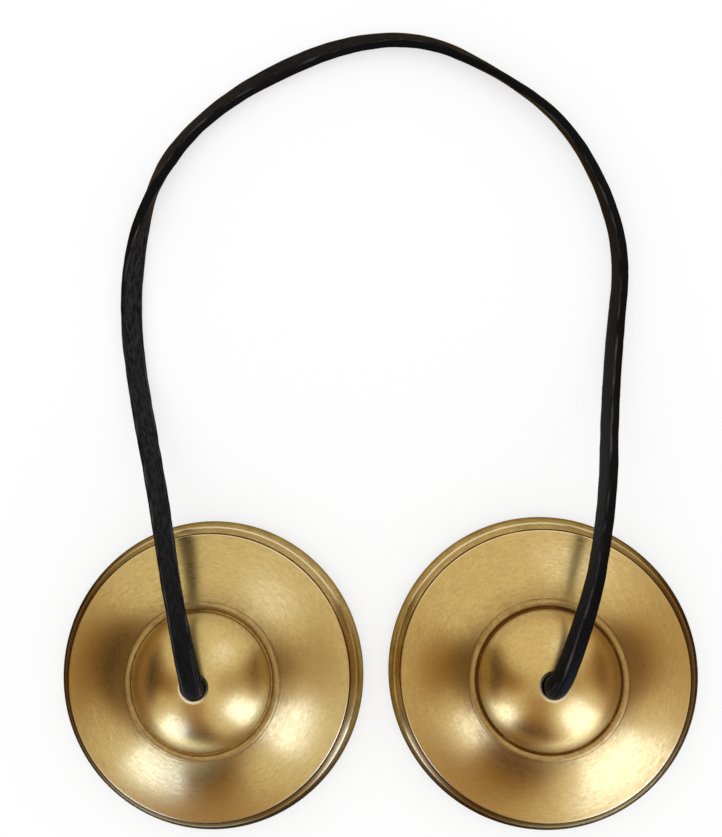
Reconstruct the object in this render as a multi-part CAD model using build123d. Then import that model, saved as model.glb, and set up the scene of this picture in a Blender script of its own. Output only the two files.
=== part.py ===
from build123d import *
import math
import os

# Tingsha: two thick bronze cymbals on one leather thong, knotted under each dome and laid out on a table.
# Millimetres, +Z up, table at z = 0, the two holes on the X axis, the thong's arch towards +Y.

# Layout of the pair
HOLE_SPACING = 70.3

# Cymbal, top side: radii and heights of the turned profile
RIM_RADIUS = 32.5
DOME_HEIGHT = 21.8
DOME_FOOT_RADIUS = 14.2
DOME_FOOT_HEIGHT = 13.9
HOLE_DIAMETER = 4.8
CHAMFER = 0.65
GROOVE_WIDTH = 0.7
GROOVE_DEPTH = 0.55
BEAD_WIDTH = 1.3
BEAD_RISE = 0.5
BEAD_DROP = 0.5
FACE_RADIUS = 29.75
FACE_HEIGHT = 7.1
FACE_SAG = 0.85

# Cymbal, stepped rim
STEP_WIDTH = 0.2
STEP_DROP = 0.8
RIDGE_RADIUS = 31.1
RIDGE_HEIGHT = 4.1
COVE_SAG = 0.28
BELLY_HEIGHT = 1.1
BELLY_SAG = 0.16
FOOT_ROUND = 0.7

# Cymbal, underside
DOME_WALL = 2.6
REST_INNER_RADIUS = 28.2
LIP_RADIUS = 26.6
LIP_HEIGHT = 4.2
LIP_SAG = 0.35
UNDER_SAG = 0.35
UNDER_FILLET = 2.0

# Thong, as a round cord of about the flat thong's section
CORD_DIAMETER = 3.2
TABLE_GAP = 0.1
ARC_SHARE = 0.45

# Overhand knot: a ring in which two strands cross three times, with sizes in cord diameters where so named
KNOT_STRAND_GAP = 0.9
KNOT_RING_TO_CORD = 1.6
KNOT_STEPS = 20
KNOT_FIRST_ANGLE = 45
SWIRL_ANGLE = 40
SWIRL_RADIUS_TO_CORD = 1.25
SWIRL_RISE_TO_CORD = 0.56
KNOT_RISE_TO_CORD = 1.8
KNOT_TAIL_TO_CORD = 1.8
KNOT_DROP = 1.15

# Where a run of the cord is cut: in the neck, and just past the elbow over the hole
NECK_CUT = 0.55
ELBOW_CUT = 0.4

# Arch of the cord: points over the domes from the hole's centre, with heights above the dome's top
LEFT_ELBOW = [(0, 0, 1.2), (-0.6, 2.35, 3.6), (-1.7, 8.5, 3.8), (-4.3, 20, 1.3)]
RIGHT_ELBOW = [(0, 0, 1.2), (1.2, 2.2, 3.6), (3.6, 8.2, 4.2), (8.1, 19.5, 1.9)]

# Arch of the cord: points from the hole's centre, with heights above the cord's lie on the table
LEFT_LEG = [
    (-8.2, 34.5, 13.6),
    (-13.4, 50.5, 4.6),
    (-17.5, 66, 0),
    (-19.2, 82, 0),
    (-17, 99, 0),
    (-11, 114.5, 0),
    (0.5, 126.5, 0),
    (16.5, 135.5, 0),
    (32.5, 140.7, 0),
]
RIGHT_LEG = [
    (12.8, 36.5, 13.2),
    (15.4, 53.5, 3.8),
    (17.8, 71.5, 0),
    (20.2, 89, 0),
    (16.2, 105.8, 0),
    (7.6, 121, 0),
    (-6.2, 132.2, 0),
    (-21.6, 140.6, 0),
]

# Worked out from the sizes above
HOLE_RADIUS = HOLE_DIAMETER / 2
LEFT_HOLE = -HOLE_SPACING / 2
RIGHT_HOLE = HOLE_SPACING / 2
DOME_RISE = DOME_HEIGHT - DOME_FOOT_HEIGHT
DOME_RADIUS = (DOME_FOOT_RADIUS**2 + DOME_RISE**2) / (2 * DOME_RISE)
DOME_CENTRE = DOME_HEIGHT - DOME_RADIUS
INNER_DOME_RADIUS = DOME_RADIUS - DOME_WALL
CEILING = DOME_CENTRE + INNER_DOME_RADIUS
CORD_LIE = CORD_DIAMETER / 2 + TABLE_GAP
KNOT_RING = KNOT_RING_TO_CORD * CORD_DIAMETER
KNOT_STRAND = (CORD_DIAMETER + KNOT_STRAND_GAP) / 2
KNOT_TOP = CEILING - KNOT_DROP
KNOT_CENTRE = KNOT_TOP - KNOT_RISE_TO_CORD * CORD_DIAMETER
KNOT_LAST_ANGLE = 900 - KNOT_FIRST_ANGLE


def sphere_height(sphere_radius, radius):
    """Height on a dome's sphere at a distance from the cymbal's axis."""
    return DOME_CENTRE + math.sqrt(sphere_radius**2 - radius**2)


def cymbal():
    """One casting, turned about the Z axis: dome, groove, bead, trumpet face, stepped rim, hollow underside."""
    chamfer_radius = HOLE_RADIUS + CHAMFER
    chamfer_height = sphere_height(DOME_RADIUS, chamfer_radius)
    hole_top = (HOLE_RADIUS, chamfer_height - CHAMFER)
    hole_bottom = (HOLE_RADIUS, sphere_height(INNER_DOME_RADIUS, HOLE_RADIUS))
    dome_edge = (chamfer_radius, chamfer_height)
    dome_middle_radius = (chamfer_radius + DOME_FOOT_RADIUS) / 2
    dome_middle = (dome_middle_radius, sphere_height(DOME_RADIUS, dome_middle_radius))
    dome_foot = (DOME_FOOT_RADIUS, DOME_FOOT_HEIGHT)
    groove_floor = (DOME_FOOT_RADIUS + GROOVE_WIDTH / 2, DOME_FOOT_HEIGHT - GROOVE_DEPTH)
    bead_start = (DOME_FOOT_RADIUS + GROOVE_WIDTH, DOME_FOOT_HEIGHT - BEAD_DROP / 2)
    bead_crest = (bead_start[0] + BEAD_WIDTH / 2, bead_start[1] + BEAD_RISE)
    bead_end = (bead_start[0] + BEAD_WIDTH, DOME_FOOT_HEIGHT - BEAD_DROP)
    face_edge = (FACE_RADIUS, FACE_HEIGHT)
    step_foot = (FACE_RADIUS + STEP_WIDTH, FACE_HEIGHT - STEP_DROP)
    ridge = (RIDGE_RADIUS, RIDGE_HEIGHT)
    belly = (RIM_RADIUS, BELLY_HEIGHT)
    rest_outer = (RIM_RADIUS - FOOT_ROUND, 0)
    rest_inner = (REST_INNER_RADIUS, 0)
    lip = (LIP_RADIUS, LIP_HEIGHT)
    under_height = DOME_FOOT_HEIGHT - DOME_WALL
    under_foot = (math.sqrt(INNER_DOME_RADIUS**2 - (under_height - DOME_CENTRE) ** 2), under_height)
    ceiling_middle_radius = (HOLE_RADIUS + under_foot[0]) / 2
    ceiling_middle = (ceiling_middle_radius, sphere_height(INNER_DOME_RADIUS, ceiling_middle_radius))

    with BuildPart() as casting:
        with BuildSketch(Plane.XZ) as profile:
            with BuildLine():
                Polyline(hole_bottom, hole_top, dome_edge)
                ThreePointArc(dome_edge, dome_middle, dome_foot)
                ThreePointArc(dome_foot, groove_floor, bead_start)
                ThreePointArc(bead_start, bead_crest, bead_end)
                SagittaArc(bead_end, face_edge, -FACE_SAG)
                Line(face_edge, step_foot)
                SagittaArc(step_foot, ridge, -COVE_SAG)
                SagittaArc(ridge, belly, BELLY_SAG)
                TangentArc(belly, rest_outer, tangent=(0, -1))
                Line(rest_outer, rest_inner)
                SagittaArc(rest_inner, lip, LIP_SAG)
                SagittaArc(lip, under_foot, UNDER_SAG)
                ThreePointArc(under_foot, ceiling_middle, hole_bottom)
            make_face()
            inner_corner = profile.vertices().sort_by_distance((under_foot[0], 0, under_foot[1]))[0]
            fillet(inner_corner, UNDER_FILLET)
        revolve(axis=Axis.Z)
    return casting.part


def around_hole(hole, radius, degrees, height):
    """Point beside a hole's axis, at a height above the middle of the knot's ring."""
    angle = math.radians(degrees)
    return (hole + radius * math.cos(angle), radius * math.sin(angle), KNOT_CENTRE + height)


def knot_points(hole):
    """Corners of one overhand knot under the hole, from the neck's foot to the end of the tail."""
    swirl_radius = SWIRL_RADIUS_TO_CORD * CORD_DIAMETER
    swirl_rise = KNOT_STRAND * math.cos(math.radians(KNOT_FIRST_ANGLE)) + SWIRL_RISE_TO_CORD * CORD_DIAMETER
    swirl_start = 2 / 3 * (90 - KNOT_FIRST_ANGLE) + SWIRL_ANGLE
    swirl_end = 2 / 3 * (90 - KNOT_LAST_ANGLE) - SWIRL_ANGLE
    step = (KNOT_LAST_ANGLE - KNOT_FIRST_ANGLE) / KNOT_STEPS

    points = [(hole, 0, KNOT_TOP), around_hole(hole, swirl_radius, swirl_start, swirl_rise)]
    for index in range(KNOT_STEPS + 1):
        turn = 90 - KNOT_FIRST_ANGLE - index * step
        out = KNOT_STRAND * math.cos(math.radians(turn))
        up = KNOT_STRAND * math.sin(math.radians(turn))
        points.append(around_hole(hole, KNOT_RING + out, 2 / 3 * turn, up))
    points.append(around_hole(hole, swirl_radius, swirl_end, -swirl_rise))
    points.append((hole, 0, KNOT_CENTRE - KNOT_TAIL_TO_CORD * CORD_DIAMETER))
    return points


def between(start, end, share):
    """Point on the run from start to end."""
    return Vector(start) + (Vector(end) - Vector(start)) * share


def arch_points():
    """Corners of the cord from the left hole to the right one, each half placed from its own hole."""
    left = [(LEFT_HOLE + x, y, DOME_HEIGHT + z) for x, y, z in LEFT_ELBOW]
    left += [(LEFT_HOLE + x, y, CORD_LIE + z) for x, y, z in LEFT_LEG]
    right = [(RIGHT_HOLE + x, y, DOME_HEIGHT + z) for x, y, z in RIGHT_ELBOW]
    right += [(RIGHT_HOLE + x, y, CORD_LIE + z) for x, y, z in RIGHT_LEG]
    return left + right[::-1]


def corner_radii(points):
    """The largest tangent arc that each corner's two runs leave room for."""
    radii = []
    for before, corner, after in zip(points, points[1:], points[2:]):
        arriving = Vector(corner) - Vector(before)
        leaving = Vector(after) - Vector(corner)
        shorter = min(arriving.length, leaving.length)
        half_turn = math.radians(arriving.get_angle(leaving) / 2)
        radii.append(ARC_SHARE * shorter / math.tan(half_turn))
    return radii


def tube(name, points, radii):
    """Cord along straight runs and tangent arcs, with its volume set against its section times its length."""
    path = FilletPolyline(*points, radius=radii)
    section = Plane(origin=path @ 0, z_dir=path % 0) * Circle(CORD_DIAMETER / 2)
    solid = sweep(section, path=path)
    expected = math.pi * CORD_DIAMETER**2 / 4 * path.length
    share = solid.volume / expected
    print(f"{name}: length {path.length:.1f} mm, least radius {min(radii):.2f} mm, volume share {share:.4f}")
    return solid, path


def least_self_gap(path):
    """Clear distance between strands of a knot, on points along its centre line."""
    count = 400
    points = [path @ (index / count) for index in range(count + 1)]
    apart = int(2.2 * CORD_DIAMETER / path.length * count) + 1
    nearest = min(
        (points[first] - points[second]).length
        for first in range(count + 1)
        for second in range(first + apart, count + 1)
    )
    return nearest - CORD_DIAMETER


# One route for the whole thong, tail to tail, cut into knots, elbows and arch
left_knot_route = knot_points(LEFT_HOLE)[::-1]
arch = arch_points()
right_knot_route = knot_points(RIGHT_HOLE)
route = left_knot_route + arch + right_knot_route
radii = corner_radii(route)
print("radii", [round(radius, 1) for radius in radii])

knot_count = len(left_knot_route)
left_neck = between(route[knot_count - 1], route[knot_count], NECK_CUT)
left_elbow_end = between(route[knot_count + 1], route[knot_count + 2], ELBOW_CUT)
right_neck = between(route[-knot_count], route[-knot_count - 1], NECK_CUT)
right_elbow_end = between(route[-knot_count - 2], route[-knot_count - 3], ELBOW_CUT)

left_knot_points = [Vector(point) for point in left_knot_route] + [left_neck]
left_bend_points = [left_neck, Vector(arch[0]), Vector(arch[1]), left_elbow_end]
cord_points = [left_elbow_end] + [Vector(point) for point in arch[2:-2]] + [right_elbow_end]
right_bend_points = [right_elbow_end, Vector(arch[-2]), Vector(arch[-1]), right_neck]
right_knot_points = [right_neck] + [Vector(point) for point in right_knot_route]

left_knot, left_knot_path = tube("left_knot", left_knot_points, radii[: knot_count - 1])
left_bend, left_bend_path = tube("left_bend", left_bend_points, radii[knot_count - 1 : knot_count + 1])
cord, cord_path = tube("cord", cord_points, radii[knot_count + 1 : -knot_count - 1])
right_bend, right_bend_path = tube("right_bend", right_bend_points, radii[-knot_count - 1 : 1 - knot_count])
right_knot, right_knot_path = tube("right_knot", right_knot_points, radii[1 - knot_count :])
print(f"least gap within a knot {least_self_gap(left_knot_path):.2f} mm")

turned = cymbal()
nodes = {
    "left_cymbal": Pos(LEFT_HOLE, 0, 0) * turned,
    "right_cymbal": Pos(RIGHT_HOLE, 0, 0) * turned,
    "left_knot": left_knot,
    "right_knot": right_knot,
    "left_bend": left_bend,
    "right_bend": right_bend,
    "cord": cord,
}
os.makedirs("parts", exist_ok=True)
for name, solid in nodes.items():
    export_step(solid, f"parts/{name}.step")
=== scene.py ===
import math
from functools import partial

import bmesh
import bpy
import numpy as np
from bpy.props import FloatProperty, FloatVectorProperty, IntProperty, PointerProperty
from mathutils import Euler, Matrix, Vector


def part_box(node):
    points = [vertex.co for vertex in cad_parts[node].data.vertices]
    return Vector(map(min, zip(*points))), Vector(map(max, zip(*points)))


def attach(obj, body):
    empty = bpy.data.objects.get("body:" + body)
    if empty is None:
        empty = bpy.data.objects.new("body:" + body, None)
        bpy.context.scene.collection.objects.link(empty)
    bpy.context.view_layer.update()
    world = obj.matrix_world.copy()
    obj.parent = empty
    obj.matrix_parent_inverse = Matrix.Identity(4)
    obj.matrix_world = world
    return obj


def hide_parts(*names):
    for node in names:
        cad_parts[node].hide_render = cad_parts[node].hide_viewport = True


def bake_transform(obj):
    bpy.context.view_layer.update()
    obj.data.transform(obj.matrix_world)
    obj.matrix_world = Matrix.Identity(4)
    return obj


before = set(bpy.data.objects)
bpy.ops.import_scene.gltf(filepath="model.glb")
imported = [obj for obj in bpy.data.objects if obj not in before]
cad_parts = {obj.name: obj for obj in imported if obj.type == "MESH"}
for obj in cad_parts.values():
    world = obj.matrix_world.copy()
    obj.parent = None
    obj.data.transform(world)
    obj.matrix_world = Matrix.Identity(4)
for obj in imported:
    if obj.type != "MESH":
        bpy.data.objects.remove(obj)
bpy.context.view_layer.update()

bl_info = {
    "name": "Tingsha cymbals",
    "version": (1, 0, 0),
    "blender": (4, 5, 0),
    "location": "View3D > Sidebar > Tingsha",
    "description": "A pair of turned bronze hand cymbals on one knotted leather thong",
    "category": "Object",
}

# Metres, +Z up, table at z = 0, the two holes on the X axis, the thong's arch towards +Y.
MM = 0.001
LEFT_CYMBAL_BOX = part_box("left_cymbal")
RIGHT_CYMBAL_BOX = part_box("right_cymbal")
LEFT_HOLE = (LEFT_CYMBAL_BOX[0].x + LEFT_CYMBAL_BOX[1].x) / 2
RIGHT_HOLE = (RIGHT_CYMBAL_BOX[0].x + RIGHT_CYMBAL_BOX[1].x) / 2

# Kinds of node that the trees use most
MATH = "ShaderNodeMath"
VECTOR_MATH = "ShaderNodeVectorMath"
NOISE = "ShaderNodeTexNoise"
RANGE = "ShaderNodeMapRange"
MIX = "ShaderNodeMix"
PRINCIPLED = "ShaderNodeBsdfPrincipled"
OUTPUT = "ShaderNodeOutputMaterial"
STORE = "GeometryNodeStoreNamedAttribute"

# Inputs and output of a Mix node that mixes colours
MIX_SHARE, MIX_FIRST, MIX_SECOND, MIXED = 0, 6, 7, 2

# Zones of a cymbal's profile, and their metals in the same order: finish, roughness, anisotropy,
# oxide all over, spacing of the turning marks in millimetres and tint at grazing angles
DOME, FLANGE, RIM, UNDERSIDE = range(4)
METALS = {
    "Dome metal": ("Satin-polished bronze", 0.30, 0.25, -0.05, 0.50, "FFFFFF"),
    "Flange metal": ("Lathe-turned bronze", 0.28, 0.50, 0.06, 0.45, "FFFFFF"),
    "Rim metal": ("Handled bronze rim, brown oxide", 0.22, 0.40, 0.05, 0.60, "22150B"),
    "Underside metal": ("Cast bronze, oxidised", 0.46, 0.40, 0.25, 0.70, "FFFFFF"),
}

# Cymbal profile in millimetres, beside the sizes in its settings
CHAMFER = 0.65
CHAMFER_DROP = 0.15
GROOVE_WIDTH = 0.5
GROOVE_SAG = 0.34
BEAD_WIDTH = 1.5
BEAD_SAG = 0.4
BEAD_DROP = 0.5
BEAD_SIDE_WIDTH = 5.0
FACE_SAG = 1.0
STEP_WIDTH = 0.25
STEP_DROP = 0.8
RIDGE_RADIUS = 31.25
RIDGE_HEIGHT = 4.9
COVE_SAG = 0.08
BELLY_HEIGHT = 2.25
BELLY_SAG = 0.15
FOOT_ROUND = 1.0
FOOT_SAG = 0.28
DOME_WALL = 2.6
REST_INNER_RADIUS = 28.2
LIP_RADIUS = 26.6
LIP_HEIGHT = 4.2
LIP_SAG = 0.35
UNDER_SAG = 0.35
EDGE_EASE = 0.15
RIDGE_EASE = 0.28
UNDER_EASE = 1.6

# Oxide in the two grooves, the darkening beside the bead, and the shares of an eased corner that
# get a point
LEFT_GROOVE_PATINA = 0.35
RIGHT_GROOVE_PATINA = 0.9
BEAD_SIDE_DARKENING = 0.3
CORNER_SHARES = (0.25, 0.5, 0.75)

# Waves of the hand-finished metal and of the thong's cut edges in metres, and how near to each
# other points are one
METAL_WAVE = 9 * MM
EDGE_WAVE = 3.5 * MM
WELD = 0.0005 * MM

# Thong: points of its route between the holes in metres, those on the floor at the strap's own
# half height
ARCH_ROUTE = [
    (-0.03515, 0.00000, 0.02300),
    (-0.03495, 0.00220, 0.02540),
    (-0.03630, 0.00850, 0.02560),
    (-0.03925, 0.02000, 0.02310),
    (-0.04335, 0.03450, 0.01530),
    (-0.04855, 0.05050, 0.00600),
    (-0.05265, 0.06600, 0.00130),
    (-0.05400, 0.08200, 0.00120),
    (-0.05170, 0.09900, 0.00150),
    (-0.04580, 0.11420, 0.00200),
    (-0.03430, 0.12600, 0.00190),
    (-0.01850, 0.13490, 0.00180),
    (-0.00265, 0.14020, 0.00190),
    (0.01355, 0.14010, 0.00210),
    (0.02890, 0.13190, 0.00220),
    (0.04275, 0.12100, 0.00225),
    (0.05135, 0.10580, 0.00220),
    (0.05535, 0.08900, 0.00220),
    (0.05295, 0.07150, 0.00230),
    (0.05055, 0.05350, 0.00570),
    (0.04795, 0.03650, 0.01490),
    (0.04325, 0.01950, 0.02370),
    (0.03875, 0.00820, 0.02600),
    (0.03635, 0.00220, 0.02540),
    (0.03515, 0.00000, 0.02300),
]

# Thong between the holes: millimetres from the left hole, roll in degrees (the arch's outer edge
# rising), width, thickness and how scuffed its faces are. It lies flat on the left leg, turns over
# at the arch's shoulder, lies nearly flat on its other face at the top and stands on edge on the
# right.
THONG_LIE = [
    (-6, 0, 4.1, 3.3, 0.2),
    (-3, 0, 4.4, 4.2, 0.1),
    (1, 0, 4.4, 4.2, 0.1),
    (7, 0, 4.1, 3.2, 0.2),
    (18, 15, 3.8, 2.5, 0.4),
    (40, 18, 4.2, 2.3, 0.7),
    (62, 14, 4.5, 2.2, 0.9),
    (85, 17, 4.65, 2.1, 1.0),
    (97, 39, 4.6, 2.1, 1.0),
    (103, 60, 4.6, 2.3, 1.0),
    (109, 87, 4.5, 2.5, 0.9),
    (115, 113, 4.5, 2.6, 0.8),
    (122, 137, 4.6, 2.3, 0.6),
    (134, 140, 4.4, 2.1, 0.5),
    (146, 148, 4.5, 2.1, 0.45),
    (155, 155, 4.5, 2.1, 0.4),
    (165, 151, 4.5, 2.1, 0.35),
    (177, 141, 4.5, 2.1, 0.3),
    (191, 130, 4.5, 2.1, 0.2),
    (206, 113, 4.4, 2.0, 0.1),
    (222, 97, 4.6, 2.1, 0.1),
    (236, 87, 4.6, 2.1, 0.1),
    (250, 75, 4.6, 2.1, 0.1),
    (272, 63, 4.6, 2.1, 0.15),
    (300, 64, 4.5, 2.2, 0.15),
    (325, 66, 4.1, 2.4, 0.2),
    (345, 60, 4.1, 3.2, 0.2),
    (351, 60, 4.4, 4.2, 0.1),
    (355, 60, 4.4, 4.2, 0.1),
    (358, 60, 4.1, 3.3, 0.2),
]

# Where those millimetres reach the right hole, the height of the holes' mouths in metres, and the
# steps of the route's line for each of its points
THONG_SPAN = 352
HOLE_MOUTH = 0.0215
ROUTE_STEPS = 16

# Thong's section: thickness over width up to which it is flat and from which it is round, the
# power that draws it round, how much of its edges' wander its faces have, and the wander's seed
FLAT_SHARE = 0.7
ROUND_SHARE = 0.95
ROUND_POWER = 0.9
FACE_WANDER = 0.5
THONG_SEED = 3.0

# Where the thong gives as it lifts, in metres from a hole's mouth: the bent pieces' ends
BEND_END = 0.018

# Overhand knot in metres and degrees: a ring in which two strands cross three times, so the
# thong goes two thirds of a turn round it for each turn about the other strand
KNOT_TOP = 0.01805
KNOT_CENTRE = 0.01229
KNOT_RING = 0.00512
KNOT_STRAND = 0.00205
KNOT_STEPS = 20
KNOT_TURN = 2 / 3
KNOT_FIRST_ANGLE = 45
KNOT_LAST_ANGLE = 900 - KNOT_FIRST_ANGLE
KNOT_TAIL = 0.00576
SWIRL_ANGLE = 40
SWIRL_RADIUS = 0.00400
SWIRL_RISE = 0.00324

# Bronze: turning marks round a cymbal, sizes of its oxide clouds and grain in metres, how much
# marks, grain and clouds stain it, what marks and stains add to its roughness, the marks' relief,
# and the quarter turn that draws lights out across them
STREAKS_ROUND = 12.0
CLOUD_SIZE = 4 * MM
GRAIN_SIZE = 0.7 * MM
MARK_STAIN = 0.4
GRAIN_STAIN = 0.3
CLOUD_STAIN = 0.45
MARK_ROUGHNESS = 0.14
STAIN_ROUGHNESS = 0.22
MARK_BUMP = 0.15
MARK_DEPTH = 0.012 * MM
ACROSS_MARKS = 0.25

# Leather: size of its grain cells in metres, its fibres and creases (length and width in metres,
# detail and roughness of their noise), its relief, how much the cells add to that, its least
# roughness, what fibres add to it, and its faint gloss
CELL_SIZE = 0.55 * MM
FIBRES = (2 * MM, 0.6 * MM, 5.0, 0.72)
CREASES = (6 * MM, 0.7 * MM, 4.0, 0.6)
LEATHER_BUMP = 0.55
LEATHER_DEPTH = 0.12 * MM
CELL_RELIEF = 0.6
LEATHER_ROUGHNESS = 0.42
FIBRE_ROUGHNESS = 0.25
LEATHER_GLOSS = 0.08

# Leather's wear, each from where there is none to where it is full: dust from the borders to the
# middle of a face and over the fibres' noise, rubbing and a painted highlight towards the corners
# and over the creases'
DUSTY_MIDDLE = (0.9, 0.5)
DUSTY_FIBRES = (0.38, 0.70)
WORN_AND_HIGHLIT_CORNERS = (0.75, 1.0)
WORN_AND_HIGHLIT_CREASES = (0.44, 0.66)

# Camera, as found from the photograph's outlines: place, lens and sensor in millimetres, turn in
# degrees, and nearest distance in metres
CAMERA_PLACE = (8.44, 34.11, 221.9)
CAMERA_TURN = (5.234, 2.906, -0.763)
CAMERA_LENS = 43.5
CAMERA_SENSOR = 36.0
CAMERA_NEAREST = 0.01

# Softboxes: direction from the object in degrees, distance and size in metres, strength in watts
SOFTBOXES = [
    ("softbox_right", -47, 22, 0.30, 0.155, 0.25, 0.43),
    ("softbox_left", -131, 11, 0.23, 0.09, 0.135, 0.145),
    ("softbox_back", 58, 43, 0.80, 0.40, 0.40, 0.45),
]

# Dark gaps of the light tent: direction in degrees, inner and outer half angle, depth
TENT_GAPS = [
    (177, -2, 18, 37, 1.0),
    (177, 20, 6, 23, 0.8),
    (-173, 42, 5, 21, 0.42),
    (-159, 67, 5, 23, 0.15),
    (-103, -2, 14, 31, 1.0),
    (-103, 23, 5, 24, 0.55),
    (-112, 52, 7, 24, 0.34),
    (4, -2, 13, 33, 0.85),
    (4, 22, 4, 26, 0.35),
    (-6, 54, 3, 22, 0.25),
]

# Paper and tent: the paper's white, the share of its own light that camera and metal see, the
# tent's glow, the depth of a gap at which its folds show, and the steps round it
WHITE = (1.0, 1.0, 1.0, 1.0)
PAPER_WHITE = (0.92, 0.92, 0.92, 1.0)
PAPER_GLOW = 0.65
TENT_GLOW = 0.96
FOLD_DEPTH = 0.4
TENT_STEPS = 48

# Tan card, in metres and degrees: its height, the painted shade round the rims and towards the
# tent's gaps, the painted light of the two front softboxes' beams on it, and its opening between
# the thong's legs
CARD_RISE = 0.2 * MM
SHADE_OUTER, SHADE_INNER = 75 * MM, 42 * MM
GAP_SHADE = 0.25
BEAM_OUTER, BEAM_INNER = 22, 9
BEAM_LIGHT = (1.8, 2.0, 2.35, 1.0)
OPENING = (0.0, 45 * MM, 0.0)
OPENING_INNER, OPENING_OUTER = 50 * MM, 75 * MM


def linear(hex_colour):
    """Linear colour of an sRGB hex value such as C8A060."""
    shares = [int(hex_colour[place:place + 2], 16) / 255 for place in (0, 2, 4)]
    return [c / 12.92 if c <= 0.04045 else ((c + 0.055) / 1.055) ** 2.4 for c in shares]


def rgba(colour):
    """Colour with full opacity, as a shader's socket takes it."""
    return (*colour, 1.0)


def add_node(tree, kind, inputs=(), out=None, **settings):
    """Adds a node with its settings. Its inputs, in order or by socket, are values or outputs to
    link; out names the output to give back in place of the node."""
    node = tree.nodes.new(kind)
    for name, value in settings.items():
        setattr(node, name, value)
    for socket, value in inputs.items() if isinstance(inputs, dict) else enumerate(inputs):
        if isinstance(value, bpy.types.NodeSocket):
            tree.links.new(value, node.inputs[socket])
        else:
            node.inputs[socket].default_value = value
    return node if out is None else node.outputs[out]


def mix(node, share, first, second):
    """Colour that goes from the first to the second by a share."""
    colours = {MIX_SHARE: share, MIX_FIRST: first, MIX_SECOND: second}
    return node(MIX, colours, MIXED, data_type="RGBA")


def ramp(node, value, start, end, highest=1.0, kind="LINEAR"):
    """Share that goes from 0 to the highest as a value goes from start to end."""
    inputs = {"Value": value, "From Min": start, "From Max": end, "To Max": highest}
    return node(RANGE, inputs, "Result", interpolation_type=kind)


def new_material(name):
    """Material without nodes, and what adds them."""
    material = bpy.data.materials.new(name)
    material.use_nodes = True
    material.node_tree.nodes.clear()
    return material, partial(add_node, material.node_tree)


def direction(azimuth, elevation):
    """Unit vector towards an azimuth, counted from +X to +Y, and an elevation, both in degrees."""
    around, up = math.radians(azimuth), math.radians(elevation)
    level = math.cos(up)
    return Vector((level * math.cos(around), level * math.sin(around), math.sin(up)))


class TingshaCymbalSettings(bpy.types.PropertyGroup):
    """Sizes and colours of the two bronze castings."""

    rim_radius: FloatProperty(
        name="Rim radius",
        description="Widest radius of a cymbal",
        default=(LEFT_CYMBAL_BOX[1].x - LEFT_CYMBAL_BOX[0].x) / 2,
        unit="LENGTH",
    )
    dome_height: FloatProperty(
        name="Dome height",
        description="Height at which the dome's sphere would close over the hole",
        default=21.8 * MM,
        unit="LENGTH",
    )
    dome_foot_radius: FloatProperty(
        name="Dome foot radius",
        description="Radius at which the dome meets its groove",
        default=14.2 * MM,
        unit="LENGTH",
    )
    dome_foot_height: FloatProperty(
        name="Dome foot height",
        description="Height of the dome's foot above the table",
        default=13.9 * MM,
        unit="LENGTH",
    )
    hole_diameter: FloatProperty(
        name="Hole diameter",
        description="Bore of the hole that the thong goes through",
        default=4.8 * MM,
        unit="LENGTH",
    )
    face_radius: FloatProperty(
        name="Face radius",
        description="Outer radius of the trumpet-shaped face",
        default=29.75 * MM,
        unit="LENGTH",
    )
    face_height: FloatProperty(
        name="Face height",
        description="Height of the face's outer edge",
        default=7.1 * MM,
        unit="LENGTH",
    )
    segments: IntProperty(
        name="Segments",
        description="Steps round a cymbal",
        default=288,
        min=32,
    )
    wobble: FloatProperty(
        name="Hand finish",
        description="How far the hand-finished surface leaves a true turning",
        default=0.035 * MM,
        unit="LENGTH",
    )
    bronze: FloatVectorProperty(
        name="Bronze",
        description="Colour of clean turned bronze",
        default=linear("DBC280"),
        subtype="COLOR",
    )
    warm_bronze: FloatVectorProperty(
        name="Warm bronze",
        description="Colour of the right cymbal's casting, a little redder than the left one's",
        default=linear("DCBF7A"),
        subtype="COLOR",
    )
    # Brown of the oxide, also the colour of the painted shade in the rim's step and on its foot by
    # the floor, and of the darkening beside the bead
    patina: FloatVectorProperty(
        name="Patina",
        description="Colour of the brown oxide in grooves and under the dome",
        default=linear("6E4A26"),
        subtype="COLOR",
    )
    # Pale colour of edges rubbed bright, which also paints the highlight lines of the hole's
    # chamfer, the face edge and the ridge
    rubbed_and_highlit: FloatVectorProperty(
        name="Rubbed edges",
        description="Colour of the metal where its edges are rubbed bright",
        default=linear("FAEFD4"),
        subtype="COLOR",
    )


class TingshaThongSettings(bpy.types.PropertyGroup):
    """Sizes and colours of the leather thong."""

    sides: IntProperty(
        name="Sides",
        description="Steps round the thong's section",
        default=36,
        min=12,
    )
    squareness: FloatProperty(
        name="Squareness",
        description="Exponent of the section's outline: 2 is an ellipse, more is squarer",
        default=4.5,
        min=2,
    )
    raggedness: FloatProperty(
        name="Raggedness",
        description="How far the cut edges wander",
        default=0.4 * MM,
        unit="LENGTH",
    )
    leather: FloatVectorProperty(
        name="Leather",
        description="Colour of the dyed grain side",
        default=linear("060607"),
        subtype="COLOR",
    )
    dust: FloatVectorProperty(
        name="Scuffs",
        description="Colour of the dusty scuffs on the faces",
        default=linear("302F30"),
        subtype="COLOR",
    )
    # Grey of the rubbed corners, which also paints the highlight that the corners catch
    worn_and_highlit: FloatVectorProperty(
        name="Worn leather",
        description="Colour of the rubbed corners",
        default=linear("454443"),
        subtype="COLOR",
    )


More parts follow.
